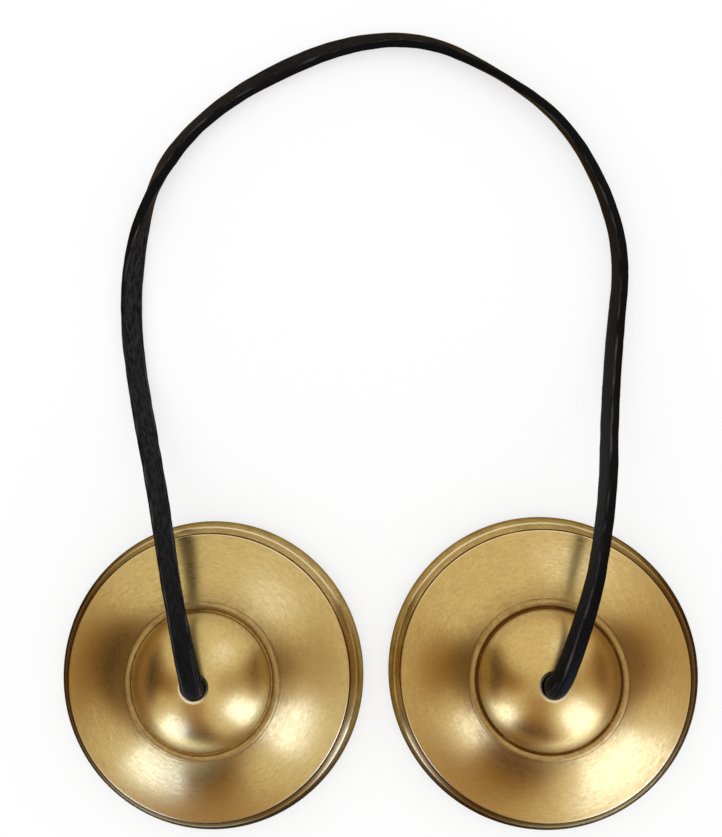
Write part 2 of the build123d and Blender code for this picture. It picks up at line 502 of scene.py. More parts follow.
class TingshaStageSettings(bpy.types.PropertyGroup):
    """Floor, tent and light levels."""

    floor_size: FloatProperty(
        name="Floor size",
        description="Side of the pale floor",
        default=6.0,
        unit="LENGTH",
    )
    tent_radius: FloatProperty(
        name="Tent radius",
        description="Radius of the fabric tent that the metal mirrors",
        default=2.0,
        unit="LENGTH",
    )
    ambient: FloatProperty(
        name="Ambient light",
        description="Strength of the white surroundings on matt surfaces",
        default=1.1,
    )
    softbox: FloatVectorProperty(
        name="Softbox colour",
        description="Cool daylight of the softboxes",
        default=linear("A2BAFF"),
        subtype="COLOR",
    )
    tent: FloatVectorProperty(
        name="Tent fabric",
        description="Colour of the tent's lit cream fabric",
        default=linear("F6F0E4"),
        subtype="COLOR",
    )
    card_size: FloatProperty(
        name="Card size",
        description="Side of the tan card that the metal mirrors round its foot",
        default=1.6,
        unit="LENGTH",
    )
    card: FloatVectorProperty(
        name="Tan card",
        description="Colour of the card round the metal's foot",
        default=linear("B8915A"),
        subtype="COLOR",
    )
    fold: FloatVectorProperty(
        name="Tent folds",
        description="Colour of the shaded fabric beside the tent's gaps",
        default=linear("A2742F"),
        subtype="COLOR",
    )
    gap: FloatVectorProperty(
        name="Tent gaps",
        description="Colour of the unlit room beyond the tent's gaps",
        default=linear("200A02"),
        subtype="COLOR",
    )


def set_inputs(modifier, values):
    """Gives a Geometry Nodes modifier its inputs, found by name and set by identifier."""
    for item in modifier.node_group.interface.items_tree:
        if item.item_type == "SOCKET" and item.in_out == "INPUT" and item.name in values:
            modifier[item.identifier] = values[item.name]


def new_tree(name, inputs):
    """Geometry Nodes tree with one geometry input, the named inputs and one geometry output."""
    tree = bpy.data.node_groups.new(name, "GeometryNodeTree")
    tree.interface.new_socket("Geometry", in_out="INPUT", socket_type="NodeSocketGeometry")
    for socket, kind in inputs:
        tree.interface.new_socket(socket, in_out="INPUT", socket_type=kind)
    tree.interface.new_socket("Geometry", in_out="OUTPUT", socket_type="NodeSocketGeometry")
    node = partial(add_node, tree)
    return tree, node, node("NodeGroupInput").outputs


def held_value(node, source, kind, name, row):
    """Value that the source's point of that row holds, its position where no name is given."""
    if name:
        value = node("GeometryNodeInputNamedAttribute", {"Name": name}, "Attribute", data_type=kind)
    else:
        value = node("GeometryNodeInputPosition", out="Position")
    inputs = {"Geometry": source, "Value": value, "Index": row}
    return node("GeometryNodeSampleIndex", inputs, "Value", data_type=kind, domain="POINT")


def finished(node, mesh):
    """The tree's mesh with its seams closed, shaded smooth and real."""
    mesh = node("GeometryNodeMergeByDistance", {"Geometry": mesh, "Distance": WELD}, 0)
    mesh = node("GeometryNodeSetShadeSmooth", {"Geometry": mesh}, 0)
    return node("GeometryNodeRealizeInstances", {"Geometry": mesh}, 0)


def turning_tree():
    """Turns a profile's points about the Z axis and gives each zone its metal."""
    tree, node, given = new_tree(
        "Turned cymbal",
        [
            ("Segments", "NodeSocketInt"),
            ("Axis", "NodeSocketVector"),
            ("Wobble", "NodeSocketFloat"),
            ("Seed", "NodeSocketFloat"),
            *((metal, "NodeSocketMaterial") for metal in METALS),
        ],
    )
    profile = given["Geometry"]
    points = node("GeometryNodeAttributeDomainSize", {0: profile}, "Point Count", component="MESH")
    rows = node(MATH, (points, 1.0), 0, operation="ADD")
    columns = node(MATH, (given["Segments"], 1.0), 0, operation="ADD")
    mesh = node("GeometryNodeMeshGrid", {"Vertices X": columns, "Vertices Y": rows}, "Mesh")

    # The last row and column fall on the first, so the ring closes
    index = node("GeometryNodeInputIndex", out="Index")
    row = node(MATH, (index, rows), 0, operation="MODULO")
    row = node(MATH, (row, points), 0, operation="MODULO")
    column = node(MATH, (index, rows), 0, operation="DIVIDE")
    column = node(MATH, (column,), 0, operation="FLOOR")
    column = node(MATH, (column, given["Segments"]), 0, operation="MODULO")
    turn = node(MATH, (column, given["Segments"]), 0, operation="DIVIDE")
    angle = node(MATH, (turn, math.tau), 0, operation="MULTIPLY")
    flat = held_value(node, profile, "FLOAT_VECTOR", "", row)
    turning = {"Vector": flat, "Angle": angle}
    turned = node("ShaderNodeVectorRotate", turning, "Vector", rotation_type="Z_AXIS")

    waves = {"Vector": turned, "W": given["Seed"], "Scale": 1 / METAL_WAVE, "Detail": 2.0}
    noise = node(NOISE, waves, "Color", noise_dimensions="4D")
    wander = node(VECTOR_MATH, (noise, (0.5, 0.5, 0.5)), "Vector", operation="SUBTRACT")
    wander = node(VECTOR_MATH, {0: wander, "Scale": given["Wobble"]}, "Vector", operation="SCALE")
    place = node(VECTOR_MATH, (turned, wander), "Vector", operation="ADD")
    place = node(VECTOR_MATH, (place, given["Axis"]), "Vector", operation="ADD")
    mesh = node("GeometryNodeSetPosition", {"Geometry": mesh, "Position": place}, "Geometry")

    across = node(MATH, (angle,), 0, operation="COSINE")
    along = node(MATH, (angle,), 0, operation="SINE")
    run = held_value(node, profile, "FLOAT", "run", row)
    around = node("ShaderNodeCombineXYZ", (across, along, run), "Vector")
    patina = held_value(node, profile, "FLOAT", "patina", row)
    face_row = node(MATH, (index, points), 0, operation="MODULO")
    zone = held_value(node, profile, "FLOAT", "zone", face_row)
    for name, kind, domain, value in (
        ("turned", "FLOAT_VECTOR", "POINT", around),
        ("patina", "FLOAT", "POINT", patina),
        ("zone", "FLOAT", "FACE", zone),
    ):
        inputs = {"Geometry": mesh, "Name": name, "Value": value}
        mesh = node(STORE, inputs, 0, data_type=kind, domain=domain)
    mesh = finished(node, mesh)
    kept = node("GeometryNodeInputNamedAttribute", {"Name": "zone"}, "Attribute", data_type="FLOAT")
    for number, metal in enumerate(METALS):
        inputs = {"A": kept, "B": float(number), "Epsilon": 0.5}
        chosen = node("FunctionNodeCompare", inputs, "Result", operation="EQUAL")
        inputs = {"Geometry": mesh, "Selection": chosen, "Material": given[metal]}
        mesh = node("GeometryNodeSetMaterial", inputs, 0)
    node("NodeGroupOutput", {"Geometry": mesh})
    return tree


def strap_tree():
    """Sweeps a squarish section along a route whose points hold the section's two half axes."""
    tree, node, given = new_tree(
        "Strap along a route",
        [
            ("Sides", "NodeSocketInt"),
            ("Squareness", "NodeSocketFloat"),
            ("Raggedness", "NodeSocketFloat"),
            ("Seed", "NodeSocketFloat"),
            ("Leather", "NodeSocketMaterial"),
        ],
    )
    route = given["Geometry"]
    points = node("GeometryNodeAttributeDomainSize", {0: route}, "Point Count", component="MESH")
    columns = node(MATH, (given["Sides"], 1.0), 0, operation="ADD")
    mesh = node("GeometryNodeMeshGrid", {"Vertices X": points, "Vertices Y": columns}, "Mesh")
    index = node("GeometryNodeInputIndex", out="Index")
    ring = node(MATH, (index, columns), 0, operation="DIVIDE")
    ring = node(MATH, (ring,), 0, operation="FLOOR")
    side = node(MATH, (index, columns), 0, operation="MODULO")
    side = node(MATH, (side, given["Sides"]), 0, operation="MODULO")
    turn = node(MATH, (side, given["Sides"]), 0, operation="DIVIDE")
    angle = node(MATH, (turn, math.tau), 0, operation="MULTIPLY")

    # Flat stretches are squarish, and where the strap is gathered to fill a hole it is round
    half = held_value(node, route, "FLOAT_VECTOR", "half", ring)
    halves = node("ShaderNodeSeparateXYZ", (half,)).outputs
    plump = node(MATH, (halves["Y"], halves["X"]), 0, operation="DIVIDE")
    flat_power = node(MATH, (2.0, given["Squareness"]), 0, operation="DIVIDE")
    gathered = {"Value": plump, "From Min": FLAT_SHARE, "From Max": ROUND_SHARE}
    powers = {"To Min": flat_power, "To Max": ROUND_POWER}
    power = node(RANGE, {**gathered, **powers}, "Result")
    shares = []
    for wave in ("COSINE", "SINE"):
        value = node(MATH, (angle,), 0, operation=wave)
        size = node(MATH, (value,), 0, operation="ABSOLUTE")
        size = node(MATH, (size, power), 0, operation="POWER")
        sign = node(MATH, (value,), 0, operation="SIGN")
        shares.append(node(MATH, (size, sign), 0, operation="MULTIPLY"))

    run = held_value(node, route, "FLOAT", "run", ring)
    true_reach = node(MATH, (shares[0], halves["X"]), 0, operation="MULTIPLY")
    true_rise = node(MATH, (shares[1], halves["Y"]), 0, operation="MULTIPLY")
    straight = node("ShaderNodeCombineXYZ", (run, true_reach, true_rise), "Vector")
    waves = {"Vector": straight, "W": given["Seed"], "Scale": 1 / EDGE_WAVE, "Detail": 4.0}
    noise = node(NOISE, waves, "Fac", noise_dimensions="4D")
    wander = node(MATH, (noise, 0.5), 0, operation="SUBTRACT")
    wander = node(MATH, (wander, given["Raggedness"]), 0, operation="MULTIPLY")
    wide = node(MATH, (halves["X"], wander), 0, operation="ADD")
    thick = node(MATH, (wander, FACE_WANDER, halves["Y"]), 0, operation="MULTIPLY_ADD")
    reach = node(MATH, (shares[0], wide), 0, operation="MULTIPLY")
    rise = node(MATH, (shares[1], thick), 0, operation="MULTIPLY")
    place = held_value(node, route, "FLOAT_VECTOR", "", ring)
    for name, size in (("across", reach), ("through", rise)):
        way = held_value(node, route, "FLOAT_VECTOR", name, ring)
        way = node(VECTOR_MATH, {0: way, "Scale": size}, "Vector", operation="SCALE")
        place = node(VECTOR_MATH, (place, way), "Vector", operation="ADD")
    mesh = node("GeometryNodeSetPosition", {"Geometry": mesh, "Position": place}, "Geometry")

    corner = node(MATH, (angle, 2.0), 0, operation="MULTIPLY")
    corner = node(MATH, (corner,), 0, operation="SINE")
    corner = node(MATH, (corner,), 0, operation="ABSOLUTE")
    wear = node("ShaderNodeCombineXYZ", (corner, shares[0], halves["Z"]), "Vector")
    for name, value in (("straight", straight), ("wear", wear)):
        inputs = {"Geometry": mesh, "Name": name, "Value": value}
        mesh = node(STORE, inputs, 0, data_type="FLOAT_VECTOR", domain="POINT")
    mesh = finished(node, mesh)
    mesh = node("GeometryNodeSetMaterial", {"Geometry": mesh, "Material": given["Leather"]}, 0)
    node("NodeGroupOutput", {"Geometry": mesh})
    return tree


def points_object(name, points, attributes):
    """Mesh of loose points that hold named numbers or vectors, for a tree to follow."""
    mesh = bpy.data.meshes.new(name)
    mesh.from_pydata([tuple(point) for point in points], [], [])
    for attribute, values in attributes.items():
        values = np.asarray(values, np.float32)
        kind, field = ("FLOAT", "value") if values.ndim == 1 else ("FLOAT_VECTOR", "vector")
        mesh.attributes.new(attribute, kind, "POINT").data.foreach_set(field, values.ravel())
    made = bpy.data.objects.new(name, mesh)
    bpy.context.scene.collection.objects.link(made)
    return made


def grow(source, tree, inputs):
    """Runs a tree on a points object and leaves the plain mesh that it makes, closed and facing
    outwards."""
    modifier = source.modifiers.new("Shape", "NODES")
    modifier.node_group = tree
    set_inputs(modifier, inputs)
    evaluated = source.evaluated_get(bpy.context.evaluated_depsgraph_get())
    made = bpy.data.meshes.new_from_object(evaluated)
    source.modifiers.remove(modifier)
    points = source.data
    source.data = made
    made.name = source.name
    bpy.data.meshes.remove(points)

    shape = bmesh.new()
    shape.from_mesh(made)
    open_edges = [edge for edge in shape.edges if edge.is_boundary]
    caps = bmesh.ops.holes_fill(shape, edges=open_edges, sides=0)["faces"]
    for cap in caps:
        cap.smooth = False
        for edge in cap.edges:
            edge.smooth = False
    bmesh.ops.recalc_face_normals(shape, faces=shape.faces)
    if shape.calc_volume(signed=True) < 0:
        bmesh.ops.reverse_faces(shape, faces=shape.faces)
    if any(not edge.is_manifold for edge in shape.edges):
        raise RuntimeError(f"{source.name} isn't closed")
    shape.to_mesh(made)
    shape.free()


def bronze(name, settings, clean, roughness, anisotropy, oxide_share, streak, tint):
    """Bell bronze: a warm yellow metal whose turning marks draw lights out across the grain,
    with brown oxide where cloth and fingers don't reach, painted shade in the rim's step and on its
    foot by the floor, and pale edges where they rub that also paint the edges' highlights."""
    material, node = new_material(name)
    turned = node("ShaderNodeAttribute", out="Vector", attribute_name="turned")
    # The patina attribute holds oxide and painted shade, and below 0 the rubbed edges that also
    # paint highlights
    oxide_and_shade = node("ShaderNodeAttribute", out="Fac", attribute_name="patina")
    place = node("ShaderNodeTexCoord", out="Object")

    # Turning marks are finer than a pixel, so they are drawn about three times too coarse to show
    coarse = {"Vector": turned, "Scale": (STREAKS_ROUND, STREAKS_ROUND, 1 / (streak * MM))}
    coarse = node("ShaderNodeMapping", coarse, "Vector")
    marks = node(NOISE, {"Vector": coarse, "Scale": 1.0, "Detail": 2.0, "Roughness": 0.6}, "Fac")
    clouds = {"Vector": place, "Scale": 1 / CLOUD_SIZE, "Detail": 3.0, "Roughness": 0.55}
    clouds = node(NOISE, clouds, "Fac")
    grain = node(NOISE, {"Vector": place, "Scale": 1 / GRAIN_SIZE, "Detail": 1.0}, "Fac")

    level = -MARK_STAIN / 2 - GRAIN_STAIN / 2
    uneven = node(MATH, (marks, MARK_STAIN, level), 0, operation="MULTIPLY_ADD")
    uneven = node(MATH, (grain, GRAIN_STAIN, uneven), 0, operation="MULTIPLY_ADD")
    cover_and_shade = node(MATH, (oxide_and_shade, oxide_share), 0, operation="ADD")
    patchy = node(MATH, (clouds, CLOUD_STAIN), 0, operation="ADD")
    stain_and_shade = node(MATH, (cover_and_shade, patchy, uneven), 0, operation="MULTIPLY_ADD", use_clamp=True)
    colour = mix(node, stain_and_shade, rgba(clean), rgba(settings.patina))

    # Edges rubbed bright: a pale colour that also paints their highlight lines
    rubbed_and_highlit = node(MATH, (oxide_and_shade, -1.0), 0, operation="MULTIPLY", use_clamp=True)
    colour = mix(node, rubbed_and_highlit, colour, rgba(settings.rubbed_and_highlit))
    smoothest = roughness - MARK_ROUGHNESS / 2
    rough = node(MATH, (marks, MARK_ROUGHNESS, smoothest), 0, operation="MULTIPLY_ADD")
    rough = node(MATH, (stain_and_shade, STAIN_ROUGHNESS, rough), 0, operation="MULTIPLY_ADD")
    relief = {"Height": marks, "Strength": MARK_BUMP, "Distance": MARK_DEPTH}
    metal = {
        "Base Color": colour,
        "Metallic": 1.0,
        "Roughness": rough,
        "Normal": node("ShaderNodeBump", relief, "Normal"),
        "Specular Tint": rgba(linear(tint)),
        "Anisotropic": anisotropy,
        "Anisotropic Rotation": ACROSS_MARKS,
        "Tangent": node("ShaderNodeTangent", out="Tangent", direction_type="RADIAL", axis="Z"),
    }
    node(OUTPUT, {"Surface": node(PRINCIPLED, metal, "BSDF")})
    return material


def leather(settings):
    """Drum-dyed cowhide cut into a thong: matt black with a fine grain, dusty on its faces and
    rubbed grey along its corners, a grey that also paints the highlight the corners catch."""
    material, node = new_material("Black-dyed leather")
    straight = node("ShaderNodeAttribute", out="Vector", attribute_name="straight")
    wear = node("ShaderNodeAttribute", out="Vector", attribute_name="wear")
    wears = node("ShaderNodeSeparateXYZ", (wear,)).outputs
    edge = node(MATH, (wears["Y"],), 0, operation="ABSOLUTE")

    # Round grain cells, and fibres and creases that run along the thong
    cells = node("ShaderNodeTexVoronoi", {"Vector": straight, "Scale": 1 / CELL_SIZE}, "Distance")
    drawn_out = []
    for length, width, detail, roughness in (FIBRES, CREASES):
        drawn = {"Vector": straight, "Scale": (1 / length, 1 / width, 1 / width)}
        drawn = node("ShaderNodeMapping", drawn, "Vector")
        waves = {"Vector": drawn, "Scale": 1.0, "Detail": detail, "Roughness": roughness}
        drawn_out.append(node(NOISE, waves, "Fac"))
    grit, creases = drawn_out

    # Dusty scuffs on the middle of the faces, in fibrous patches; the borders stay black
    middle = ramp(node, edge, *DUSTY_MIDDLE, kind="SMOOTHSTEP")
    patches = ramp(node, grit, *DUSTY_FIBRES)
    dust = node(MATH, (middle, wears["Z"]), 0, operation="MULTIPLY")
    dust = node(MATH, (dust, patches), 0, operation="MULTIPLY")

    # Corners rubbed grey in broken lines, a grey that also paints the highlight along them
    corners = ramp(node, wears["X"], *WORN_AND_HIGHLIT_CORNERS)
    broken = ramp(node, creases, *WORN_AND_HIGHLIT_CREASES)
    worn_and_highlit = node(MATH, (corners, broken), 0, operation="MULTIPLY")
    colour = mix(node, dust, rgba(settings.leather), rgba(settings.dust))
    colour = mix(node, worn_and_highlit, colour, rgba(settings.worn_and_highlit))
    height = node(MATH, (cells, CELL_RELIEF, grit), 0, operation="MULTIPLY_ADD")
    height = node(MATH, (height, creases), 0, operation="ADD")
    relief = {"Height": height, "Strength": LEATHER_BUMP, "Distance": LEATHER_DEPTH}
    rough = (grit, FIBRE_ROUGHNESS, LEATHER_ROUGHNESS)
    hide = {
        "Base Color": colour,
        "Roughness": node(MATH, rough, 0, operation="MULTIPLY_ADD"),
        "Normal": node("ShaderNodeBump", relief, "Normal"),
        "Specular IOR Level": LEATHER_GLOSS,
    }
    node(OUTPUT, {"Surface": node(PRINCIPLED, hide, "BSDF")})
    return material


def arc(start, end, sagitta, shares):
    """Points at those shares of an arc that stands the sagitta to the left of its chord."""
    start, end = np.array(start, float), np.array(end, float)
    chord = end - start
    length = np.linalg.norm(chord)
    along = chord / length
    left = np.array([-along[1], along[0]])
    if sagitta == 0:
        return [start + chord * share for share in shares]
    radius = (length**2 / 4 + sagitta**2) / (2 * sagitta)
    half_turn = math.asin(length / 2 / radius)
    points = []
    for share in shares:
        turn = (2 * share - 1) * half_turn
        out = radius * math.cos(turn) - (radius - sagitta)
        points.append((start + end) / 2 + along * radius * math.sin(turn) + left * out)
    return points


def sphere_sagitta(radius, start, end):
    """Sagitta of a dome's arc between two of its points."""
    half_chord = math.dist(start, end) / 2
    return radius - math.sqrt(radius**2 - half_chord**2)


def cymbal_profile(settings, groove_patina):
    """Closed section of a cymbal as (radius, height), zone and patina of each point, with its
    corners eased."""
    rim = settings.rim_radius / MM
    top = settings.dome_height / MM
    foot = (settings.dome_foot_radius / MM, settings.dome_foot_height / MM)
    hole = settings.hole_diameter / 2 / MM
    face_edge = (settings.face_radius / MM, settings.face_height / MM)
    rise = top - foot[1]
    dome = (foot[0] ** 2 + rise**2) / (2 * rise)
    centre = top - dome
    inner = dome - DOME_WALL

    def on_dome(radius, sphere):
        return centre + math.sqrt(sphere**2 - radius**2)

    edge = (hole + CHAMFER, on_dome(hole + CHAMFER, dome))
    hole_top = (hole, edge[1] - CHAMFER_DROP)
    hole_bottom = (hole, on_dome(hole, inner))
    bead_start = (foot[0] + GROOVE_WIDTH, foot[1] - BEAD_DROP / 2)
    bead_end = (bead_start[0] + BEAD_WIDTH, foot[1] - BEAD_DROP)
    step_foot = (face_edge[0] + STEP_WIDTH, face_edge[1] - STEP_DROP)
    ridge = (RIDGE_RADIUS, RIDGE_HEIGHT)
    belly = (rim, BELLY_HEIGHT)
    rest_outer = (rim - FOOT_ROUND, 0)
    rest_inner = (REST_INNER_RADIUS, 0)
    lip = (LIP_RADIUS, LIP_HEIGHT)
    under_height = foot[1] - DOME_WALL
    under_foot = (math.sqrt(inner**2 - (under_height - centre) ** 2), under_height)

    # Start, end, sagitta, steps, zone, patina, ease at the end and patina there; a patina below 0
    # is metal rubbed bright, which also paints the edge's highlight. The patina of the step below
    # the face edge and of the foot by the floor is painted shade as well as oxide.
    dome_sag = sphere_sagitta(dome, edge, foot)
    cup_sag = sphere_sagitta(inner, under_foot, hole_bottom)
    stretches = [
        (hole_bottom, hole_top, 0, 5, DOME, 0.5, 0.08, 0.1),
        # The hole's chamfer, rubbed bright, which also paints its highlight ring
        (hole_top, edge, 0, 4, DOME, -0.9, 0.08, 0.1),
        (edge, foot, dome_sag, 34, DOME, 0.1, 0.1, groove_patina / 2),
        (foot, bead_start, -GROOVE_SAG, 8, RIM, groove_patina, 0.07, groove_patina * 0.7),
        (bead_start, bead_end, BEAD_SAG, 10, DOME, 0.3, 0.15, 0.7),
        # The face ends in an edge rubbed bright, which also paints its highlight line
        (bead_end, face_edge, -FACE_SAG, 36, FLANGE, 0.05, EDGE_EASE, -0.6),
        # The step below the face edge, darkened as oxide and painted shade
        (face_edge, step_foot, 0, 4, RIM, 1.0, 0.1, 1.1),
        # The cove ends in the ridge, rubbed bright, which also paints its highlight line
        (step_foot, ridge, -COVE_SAG, 9, RIM, 0.4, RIDGE_EASE, -0.7),
        (ridge, belly, BELLY_SAG, 10, RIM, 0.45, 0.2, 0.5),
        # The foot, darkened towards the floor as oxide and painted shade
        (belly, rest_outer, FOOT_SAG, 6, RIM, 0.7, 0.1, 0.9),
        (rest_outer, rest_inner, 0, 4, UNDERSIDE, 0.2, 0.25, 0.2),
        (rest_inner, lip, LIP_SAG, 8, UNDERSIDE, 0.5, 0.4, 0.4),
        (lip, under_foot, UNDER_SAG, 20, UNDERSIDE, 0.55, UNDER_EASE, 0.8),
        (under_foot, hole_bottom, -cup_sag, 22, UNDERSIDE, 0.7, 0.1, 0.3),
    ]
    points, zones, patina_and_shade_shares = [], [], []
    eases = [stretch[6] for stretch in stretches]
    for number, stretch in enumerate(stretches):
        start, end, sagitta, steps, zone, patina, ease, corner_patina_and_shade = stretch
        length = math.dist(start, end)
        shares = np.linspace(eases[number - 1] / length, 1 - ease / length, steps)
        following = stretches[(number + 1) % len(stretches)]
        next_share = ease / math.dist(following[0], following[1])
        own = arc(start, end, sagitta, shares)
        after = arc(following[0], following[1], following[2], [next_share])[0]
        for point in own:
            # Points near the bead's outer end get darker, fading out over a few millimetres
            beside_bead = max(0, 1 - math.dist(point, bead_end) / BEAD_SIDE_WIDTH)
            points.append(point)
            zones.append(zone)
            patina_and_shade_shares.append(patina + BEAD_SIDE_DARKENING * beside_bead)
        for share in CORNER_SHARES:
            before = own[-1] * (1 - share) ** 2 + after * share**2
            points.append(before + np.array(end) * 2 * share * (1 - share))
            zones.append(zone)
            patina_and_shade_shares.append(corner_patina_and_shade)
    return np.array(points), zones, patina_and_shade_shares


class OBJECT_OT_tingsha_cymbals(bpy.types.Operator):
    """Turns the two bronze cymbals from their profile"""

    bl_idname = "object.tingsha_cymbals"
    bl_label = "Cymbals"

    def execute(self, context):
        settings = context.scene.tingsha_cymbals
        tree = turning_tree()
        sides = (
            ("left", LEFT_HOLE, LEFT_GROOVE_PATINA, settings.bronze),
            ("right", RIGHT_HOLE, RIGHT_GROOVE_PATINA, settings.warm_bronze),
        )
        for seed, (side, hole, groove_patina, clean) in enumerate(sides):
            metals = {
                metal: bronze(f"{finish}, {side}", settings, clean, *look)
                for metal, (finish, *look) in METALS.items()
            }
            profile, zones, patina_and_shade_shares = cymbal_profile(settings, groove_patina)
            steps = np.linalg.norm(np.diff(profile, axis=0, prepend=profile[:1]), axis=1)
            run = np.cumsum(steps) * MM
            section = [(radius * MM, 0, height * MM) for radius, height in profile]
            held = {"zone": zones, "patina": patina_and_shade_shares, "run": run}
            piece = points_object(f"{side}_cymbal_turned", section, held)
            inputs = {
                "Segments": settings.segments,
                "Axis": (hole, 0, 0),
                "Wobble": settings.wobble,
                "Seed": float(seed),
            }
            grow(piece, tree, {**inputs, **metals})
            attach(piece, f"{side}_cymbal")
            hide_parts(f"{side}_cymbal")
        return {"FINISHED"}


def around_hole(hole, radius, degrees, height):
    """Point beside a hole's axis, at a height above the middle of the knot's ring."""
    angle = math.radians(degrees)
    return (hole + radius * math.cos(angle), radius * math.sin(angle), KNOT_CENTRE + height)


def knot_route(hole):
    """Corners of one overhand knot under the hole, from the neck's foot to the end of the tail."""
    step = (KNOT_LAST_ANGLE - KNOT_FIRST_ANGLE) / KNOT_STEPS
    swirl_start = KNOT_TURN * (90 - KNOT_FIRST_ANGLE) + SWIRL_ANGLE
    swirl_end = KNOT_TURN * (90 - KNOT_LAST_ANGLE) - SWIRL_ANGLE
    points = [(hole, 0, KNOT_TOP), around_hole(hole, SWIRL_RADIUS, swirl_start, SWIRL_RISE)]
    for index in range(KNOT_STEPS + 1):
        turn = 90 - KNOT_FIRST_ANGLE - index * step
        out = KNOT_STRAND * math.cos(math.radians(turn))
        up = KNOT_STRAND * math.sin(math.radians(turn))
        points.append(around_hole(hole, KNOT_RING + out, KNOT_TURN * turn, up))
    points.append(around_hole(hole, SWIRL_RADIUS, swirl_end, -SWIRL_RISE))
    points.append((hole, 0, KNOT_CENTRE - KNOT_TAIL))
    return points


def smooth_line(points):
    """Points along the NURBS line that has these points as its control points."""
    curve = bpy.data.curves.new("thong_route", "CURVE")
    curve.dimensions = "3D"
    spline = curve.splines.new("NURBS")
    spline.points.add(len(points) - 1)
    for control, point in zip(spline.points, points):
        control.co = (*point, 1.0)
    spline.order_u = 3
    spline.use_endpoint_u = True
    spline.resolution_u = ROUTE_STEPS
    holder = bpy.data.objects.new("thong_route", curve)
    bpy.context.scene.collection.objects.link(holder)
    bpy.context.view_layer.update()
    evaluated = holder.evaluated_get(bpy.context.evaluated_depsgraph_get())
    line = bpy.data.meshes.new_from_object(evaluated)
    found = np.array([vertex.co for vertex in line.vertices])
    bpy.data.objects.remove(holder)
    bpy.data.curves.remove(curve)
    bpy.data.meshes.remove(line)
    return found


def unit(rows):
    """Rows of vectors, each of length 1."""
    return rows / np.linalg.norm(rows, axis=-1, keepdims=True)


def untwisted(tangents, first, start):
    """Vectors square to the tangents that turn about the line as little as can be, from the first
    both ways."""
    across = np.zeros_like(tangents)
    across[first] = start
    for order in (range(first + 1, len(tangents)), range(first - 1, -1, -1)):
        previous = across[first]
        for index in order:
            previous = previous - tangents[index] * (previous @ tangents[index])
            previous = previous / np.linalg.norm(previous)
            across[index] = previous
    return across


class OBJECT_OT_tingsha_thong(bpy.types.Operator):
    """Lays the leather thong from knot to knot, in five pieces; the knots and the cord follow their
    bodies
    """

    bl_idname = "object.tingsha_thong"
    bl_label = "Thong"

    def execute(self, context):
        settings = context.scene.tingsha_thong
        left_hole, right_hole = ARCH_ROUTE[0][0], ARCH_ROUTE[-1][0]
        line = smooth_line(knot_route(left_hole)[::-1] + ARCH_ROUTE + knot_route(right_hole))
        run = np.cumsum(np.linalg.norm(np.diff(line, axis=0, prepend=line[:1]), axis=1))
        above = np.where(line[:, 2] > HOLE_MOUTH)[0]
        from_hole = run - run[above[0]]
        keys = np.array(THONG_LIE, float)
        stations = keys[:, 0] / THONG_SPAN * from_hole[above[-1]]
        lie = [np.interp(from_hole, stations, values) for values in keys.T[1:]]
        roll, width, thickness, scuff = lie
        roll = np.radians(roll)
        half = np.stack([width / 2 * MM, thickness / 2 * MM, scuff], axis=1)

        # Where it lies on the table, its middle is as high as the rolled section reaches
        power = settings.squareness / (settings.squareness - 1)
        depth = (half[:, 0] * abs(np.sin(roll))) ** power
        depth = depth + (half[:, 1] * abs(np.cos(roll))) ** power
        rough = settings.raggedness * FACE_WANDER / 2
        line[:, 2] = np.maximum(line[:, 2], depth ** (1 / power) + rough)

        # Level at the arch's farthest point, then rolled as it lies
        tangents = unit(np.gradient(line, axis=0))
        crown = int(np.argmax(line[:, 1]))
        level = untwisted(tangents, crown, unit(np.cross(tangents[crown], (0, 0, 1))))
        upright = np.cross(level, tangents)
        along, up = np.cos(roll)[:, None], np.sin(roll)[:, None]
        held = {
            "run": run,
            "half": half,
            "across": level * along - upright * up,
            "through": upright * along + level * up,
        }

        left_bend, right_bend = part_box("left_bend"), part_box("right_bend")
        left_neck = np.where(line[:, 2] > left_bend[0].z)[0][0]
        right_neck = np.where(line[:, 2] > right_bend[0].z)[0][-1]
        left_elbow = left_neck + np.where(line[left_neck:, 1] > BEND_END)[0][0]
        right_elbow = np.where(line[:right_neck, 1] > BEND_END)[0][-1]
        cuts = [0, left_neck, left_elbow, right_elbow, right_neck, len(line) - 1]
        names = ("left_knot", "left_bend", "cord", "right_bend", "right_knot")
        tree = strap_tree()
        inputs = {
            "Sides": settings.sides,
            "Squareness": settings.squareness,
            "Raggedness": settings.raggedness,
            "Seed": THONG_SEED,
            "Leather": leather(settings),
        }
        pieces = {}
        for name, first, last in zip(names, cuts, cuts[1:]):
            part = slice(first, last + 1)
            kept = {key: values[part] for key, values in held.items()}
            piece = points_object(f"thong_{name}", line[part], kept)
            grow(piece, tree, inputs)
            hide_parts(name)
            pieces[name] = piece

        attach(pieces["left_knot"], "left_end")
        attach(pieces["right_knot"], "right_end")
        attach(pieces["cord"], "cord")
        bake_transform(pieces["left_bend"])
        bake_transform(pieces["right_bend"])
        return {"FINISHED"}


def seen_ray(node):
    """1 for rays that show the surroundings themselves: camera, glossy and transmission rays."""
    path = node("ShaderNodeLightPath").outputs
    seen = node(MATH, (path["Is Glossy Ray"], path["Is Transmission Ray"]), 0, operation="MAXIMUM")
    return node(MATH, (path["Is Camera Ray"], seen), 0, operation="MAXIMUM")


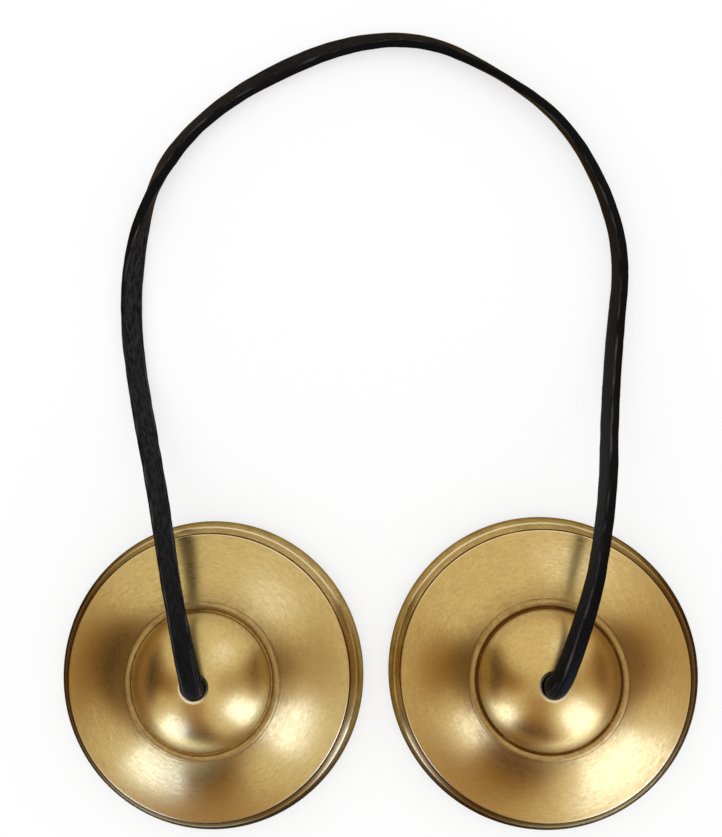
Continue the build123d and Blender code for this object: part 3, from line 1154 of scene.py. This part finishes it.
def floor_material():
    """Seamless white paper: matt, bright to the camera, and still darkened where the object shades
    it."""
    material, node = new_material("White paper sweep")
    matt = {"Base Color": PAPER_WHITE, "Roughness": 1.0, "Specular IOR Level": 0.0}
    matt = node(PRINCIPLED, matt, "BSDF")
    lit = node("ShaderNodeEmission", {"Color": WHITE}, "Emission")
    share = node(MATH, (seen_ray(node), PAPER_GLOW), 0, operation="MULTIPLY")
    paper = node("ShaderNodeMixShader", (share, matt, lit), 0)
    clear = node("ShaderNodeBsdfTransparent", out="BSDF")
    below = node("ShaderNodeNewGeometry", out="Backfacing")
    whole = node("ShaderNodeMixShader", (below, paper, clear), 0)
    node(OUTPUT, {"Surface": whole})
    return material


def cone_share(node, cones):
    """How deep a place of the stage lies in the deepest of some cones of directions, as the object
    sees it. A cone is an azimuth, an elevation, an inner and an outer half angle, and a depth."""
    place = node("ShaderNodeTexCoord", out="Object")
    way = node(VECTOR_MATH, (place,), "Vector", operation="NORMALIZE")
    deepest = 0.0
    for azimuth, elevation, inner, outer, depth in cones:
        axis = direction(azimuth, elevation)
        facing = node(VECTOR_MATH, (way, axis), "Value", operation="DOT_PRODUCT")
        edges = [math.cos(math.radians(angle)) for angle in (outer, inner)]
        share = ramp(node, facing, *edges, depth, kind="SMOOTHSTEP")
        deepest = node(MATH, (share, deepest), 0, operation="MAXIMUM")
    return deepest


def tent_material(settings):
    """Cream fabric lit from behind, with unlit gaps that put the dark bands into polished metal."""
    material, node = new_material("Light tent fabric")
    fade = node("ShaderNodeValToRGB", (cone_share(node, TENT_GAPS),))
    fade.color_ramp.elements[0].color = rgba(settings.tent)
    fade.color_ramp.elements[1].color = rgba(settings.gap)
    fade.color_ramp.elements.new(FOLD_DEPTH).color = rgba(settings.fold)
    glow = {"Color": fade.outputs["Color"], "Strength": TENT_GLOW}
    node(OUTPUT, {"Surface": node("ShaderNodeEmission", glow, "Emission")})
    return material


def card_material(settings):
    """Tan card under the tent, which keeps the metal's low reflections warm: painted light where
    the front softboxes' beams would fall on it, painted brown shade beside the rims and towards the
    tent's gaps, and open to the white floor between the thong's legs."""
    material, node = new_material("Tan card")
    place = node("ShaderNodeTexCoord", out="Object")
    mirrored = node(VECTOR_MATH, (place,), "Vector", operation="ABSOLUTE")
    away = node(VECTOR_MATH, (mirrored, (RIGHT_HOLE, 0.0, 0.0)), "Value", operation="DISTANCE")
    # Painted shade round the rims and towards the tent's gaps, and painted light in the softboxes'
    # beams
    shaded = ramp(node, away, SHADE_OUTER, SHADE_INNER)
    beyond = node(MATH, (cone_share(node, TENT_GAPS), GAP_SHADE), 0, operation="MULTIPLY")
    shaded = node(MATH, (shaded, beyond), 0, operation="MAXIMUM")
    beams = [(azimuth, 0, BEAM_INNER, BEAM_OUTER, 1.0) for _, azimuth, *_ in SOFTBOXES[:2]]
    lit = cone_share(node, beams)
    colour = mix(node, lit, rgba(settings.card), BEAM_LIGHT)
    colour = mix(node, shaded, colour, rgba(settings.gap))
    glow = node("ShaderNodeEmission", {"Color": colour}, "Emission")
    away = node(VECTOR_MATH, (place, OPENING), "Value", operation="DISTANCE")
    solid = ramp(node, away, OPENING_INNER, OPENING_OUTER)
    clear = node("ShaderNodeBsdfTransparent", out="BSDF")
    node(OUTPUT, {"Surface": node("ShaderNodeMixShader", (solid, clear, glow), 0)})
    return material


def level_sheet(name, size, height, material):
    """Square sheet of the stage that lies level."""
    half = size / 2
    corners = [(-half, -half), (half, -half), (half, half), (-half, half)]
    mesh = bpy.data.meshes.new(name)
    mesh.from_pydata([(*corner, height) for corner in corners], [], [(0, 1, 2, 3)])
    mesh.materials.append(material)
    return bpy.data.objects.new(name, mesh)


class OBJECT_OT_tingsha_stage(bpy.types.Operator):
    """Sets up the floor, the light tent, the softboxes, the surroundings and the camera"""

    bl_idname = "object.tingsha_stage"
    bl_label = "Stage"

    def execute(self, context):
        scene = context.scene
        settings = scene.tingsha_stage
        floor = level_sheet("floor", settings.floor_size, 0, floor_material())
        card = level_sheet("tan_card", settings.card_size, CARD_RISE, card_material(settings))
        fabric = bpy.data.meshes.new("light_tent")
        ball = bmesh.new()
        steps = {"u_segments": TENT_STEPS, "v_segments": TENT_STEPS // 2}
        bmesh.ops.create_uvsphere(ball, **steps, radius=settings.tent_radius)
        ball.to_mesh(fabric)
        ball.free()
        fabric.materials.append(tent_material(settings))
        tent = bpy.data.objects.new("light_tent", fabric)
        for shown_to_metal in (tent, card):
            shown_to_metal.visible_camera = False
            shown_to_metal.visible_diffuse = False
            shown_to_metal.visible_shadow = False
            shown_to_metal.visible_transmission = False
        for item in (floor, tent, card):
            scene.collection.objects.link(item)

        for name, azimuth, elevation, distance, width, height, power in SOFTBOXES:
            lamp = bpy.data.lights.new(name, "AREA")
            lamp.shape = "RECTANGLE"
            lamp.size = width
            lamp.size_y = height
            lamp.energy = power
            lamp.color = settings.softbox
            softbox = bpy.data.objects.new(name, lamp)
            way = direction(azimuth, elevation)
            softbox.location = way * distance
            softbox.rotation_euler = way.to_track_quat("Z", "Y").to_euler()
            softbox.visible_camera = False
            softbox.visible_diffuse = False
            scene.collection.objects.link(softbox)

        world = bpy.data.worlds.new("White surroundings")
        world.use_nodes = True
        scene.world = world
        background = world.node_tree.nodes["Background"]
        background.inputs["Color"].default_value = WHITE
        node = partial(add_node, world.node_tree)
        seen = seen_ray(node)
        unseen = node(MATH, (1.0, seen), 0, operation="SUBTRACT")
        strength = node(MATH, (unseen, settings.ambient, seen), 0, operation="MULTIPLY_ADD")
        world.node_tree.links.new(strength, background.inputs["Strength"])

        lens = bpy.data.cameras.new("photo_camera")
        lens.lens = CAMERA_LENS
        lens.sensor_width = CAMERA_SENSOR
        lens.clip_start = CAMERA_NEAREST
        camera = bpy.data.objects.new("photo_camera", lens)
        camera.location = Vector(CAMERA_PLACE) * MM
        camera.rotation_euler = Euler([math.radians(angle) for angle in CAMERA_TURN], "XYZ")
        scene.collection.objects.link(camera)
        scene.camera = camera
        scene.view_settings.view_transform = "Standard"
        return {"FINISHED"}


class VIEW3D_PT_tingsha(bpy.types.Panel):
    """Sizes, colours and building steps of the tingsha"""

    bl_label = "Tingsha"
    bl_idname = "VIEW3D_PT_tingsha"
    bl_space_type = "VIEW_3D"
    bl_region_type = "UI"
    bl_category = "Tingsha"

    def draw(self, context):
        for group, kind in SETTINGS.items():
            box = self.layout.box()
            settings = getattr(context.scene, group)
            for name in kind.__annotations__:
                box.prop(settings, name)
            box.operator(f"object.{group}")


# Groups of settings, each named as the operator that uses it
SETTINGS = {
    "tingsha_cymbals": TingshaCymbalSettings,
    "tingsha_thong": TingshaThongSettings,
    "tingsha_stage": TingshaStageSettings,
}

CLASSES = (
    *SETTINGS.values(),
    OBJECT_OT_tingsha_cymbals,
    OBJECT_OT_tingsha_thong,
    OBJECT_OT_tingsha_stage,
    VIEW3D_PT_tingsha,
)


def register():
    for item in CLASSES:
        bpy.utils.register_class(item)
    for name, group in SETTINGS.items():
        setattr(bpy.types.Scene, name, PointerProperty(type=group))


def unregister():
    for name in SETTINGS:
        delattr(bpy.types.Scene, name)
    for item in reversed(CLASSES):
        bpy.utils.unregister_class(item)


def main():
    register()
    bpy.ops.object.tingsha_cymbals()
    bpy.ops.object.tingsha_thong()
    bpy.ops.object.tingsha_stage()


if __name__ == "__main__":
    main()
